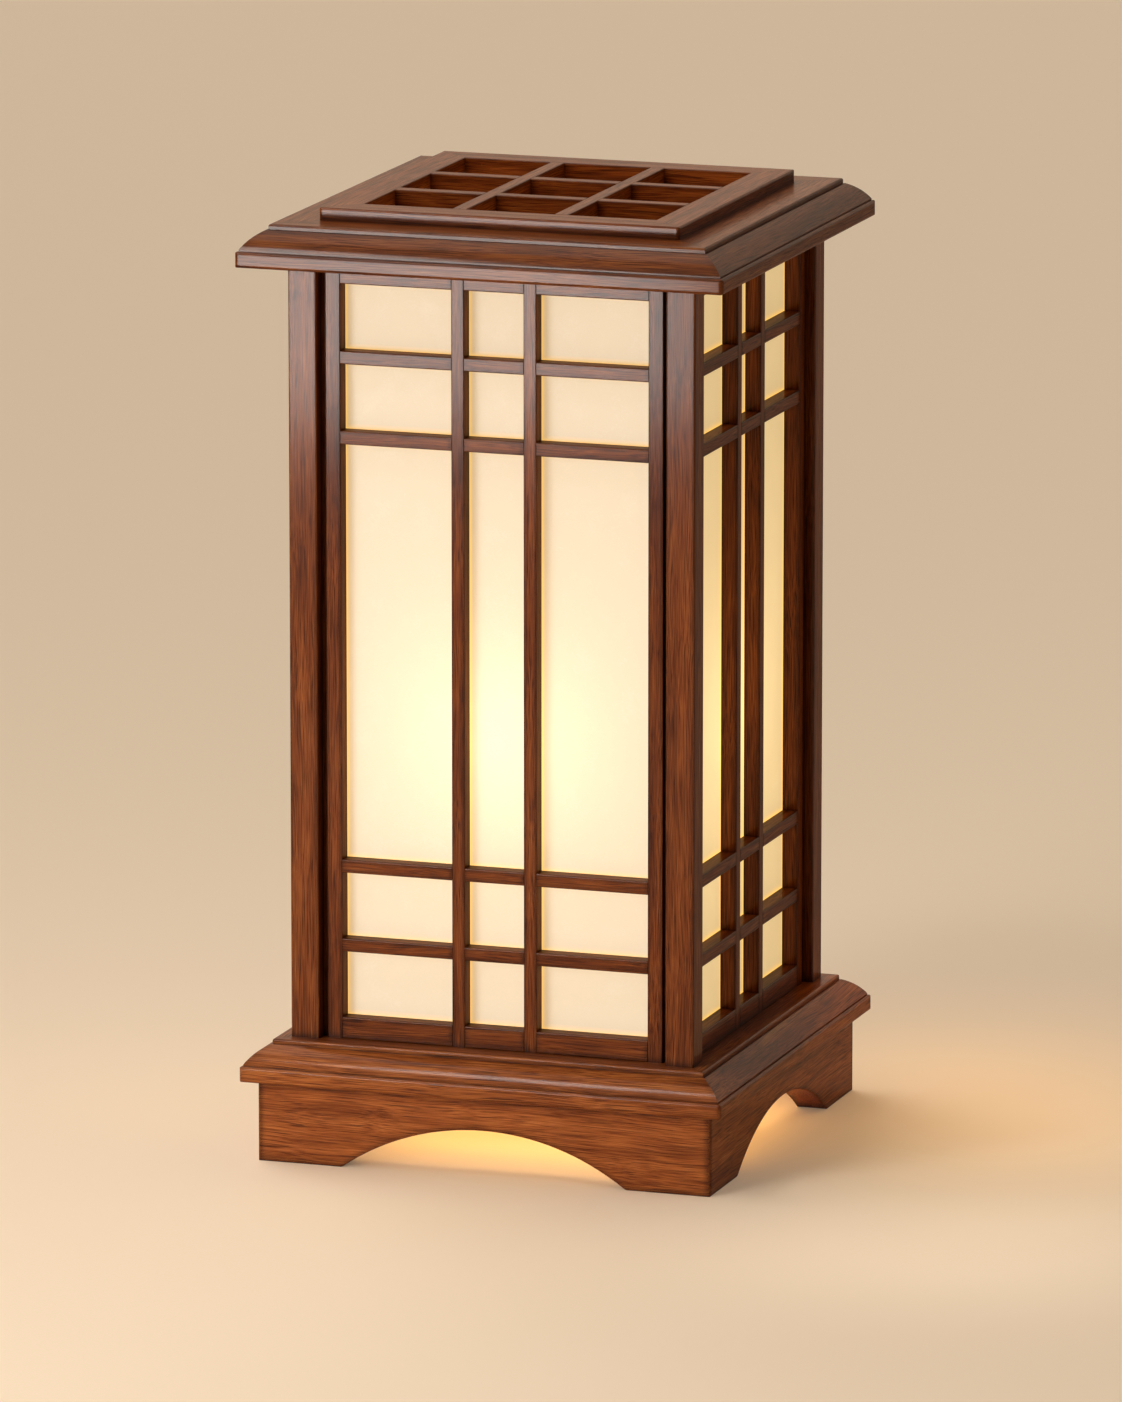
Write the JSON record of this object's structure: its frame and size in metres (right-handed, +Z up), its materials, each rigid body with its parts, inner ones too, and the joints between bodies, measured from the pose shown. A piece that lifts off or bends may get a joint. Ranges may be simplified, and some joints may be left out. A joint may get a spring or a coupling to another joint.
{
  "type": "andon table lamp",
  "caption": "Square wooden andon table lamp: paper lattice panels between corner posts, moulded base and cap, arched skirt, lift-off top grille and a screw-in bulb.",
  "frame": {"origin": "on the table under the middle of the lamp", "axes": "+Z up, +X to the right along the front, front face towards -Y"},
  "size_m": [0.239, 0.239, 0.4544],
  "materials": {
    "walnut": "dark stained walnut, satin varnish",
    "washi": "long-fibre paper lit from behind",
    "beech": "bare beech",
    "steel": "zinc plated",
    "brass": "rolled brass",
    "nylon": "moulded black nylon",
    "bakelite": "moulded phenolic",
    "porcelain": "glazed white",
    "vitrite": "black glass with a solder tip",
    "bulb_glass": "clear blown glass",
    "filament": "glowing filament"
  },
  "bodies": {
    "lamp": {"base_rail_back": "walnut", "base_rail_front": "walnut", "base_rail_left": "walnut", "base_rail_right": "walnut", "cap_rail_back": "walnut", "cap_rail_front": "walnut", "cap_rail_left": "walnut", "cap_rail_right": "walnut", "centre_contact": "brass", "cord_bush": "nylon", "holder_cap": "bakelite", "holder_insulator": "porcelain", "holder_shell": "bakelite", "lamp_bar": "walnut", "lamp_bar_screws": "steel", "lamp_tube": "brass", "panel_back_bars": "walnut", "panel_back_paper": "washi", "panel_back_rails": "walnut", "panel_back_stiles": "walnut", "panel_back_uprights": "walnut", "panel_front_bars": "walnut", "panel_front_paper": "washi", "panel_front_rails": "walnut", "panel_front_stiles": "walnut", "panel_front_uprights": "walnut", "panel_left_bars": "walnut", "panel_left_paper": "washi", "panel_left_rails": "walnut", "panel_left_stiles": "walnut", "panel_left_uprights": "walnut", "panel_right_bars": "walnut", "panel_right_paper": "washi", "panel_right_rails": "walnut", "panel_right_stiles": "walnut", "panel_right_uprights": "walnut", "post_back_left": "walnut", "post_back_right": "walnut", "post_dowels": "beech", "post_front_left": "walnut", "post_front_right": "walnut", "screw_shell": "brass", "skirt_back": "walnut", "skirt_front": "walnut", "skirt_left": "walnut", "skirt_right": "walnut", "tube_nuts": "brass"},
    "top_grille": {"grille_rail_back": "walnut", "grille_rail_front": "walnut", "grille_rail_left": "walnut", "grille_rail_right": "walnut", "grille_slat_back": "walnut", "grille_slat_front": "walnut", "grille_slat_left": "walnut", "grille_slat_right": "walnut"},
    "bulb_foot": {"bulb_contact": "vitrite"},
    "bulb": {"bulb_cap": "brass", "bulb_glass": "bulb_glass", "bulb_stem": "bulb_glass", "bulb_filaments": "filament"}
  },
  "joints": [
    {"name": "grille_lift", "type": "slide", "parent": "lamp", "child": "top_grille", "axis": [0, 0, 1], "range_m": [0, 0.08]},
    {"name": "bulb_rise", "type": "slide", "parent": "lamp", "child": "bulb_foot", "axis": [0, 0, 1], "range_m": [0, 0.0091]},
    {"name": "bulb_turn", "type": "hinge", "parent": "bulb_foot", "child": "bulb", "pos_m": [0, 0, 0.137], "axis": [0, 0, 1], "range_deg": [0, 900]}
  ],
  "couplings": [
    {"joint": "bulb_rise", "follows": "bulb_turn", "m_per_rad": 0.00057614}
  ]
}
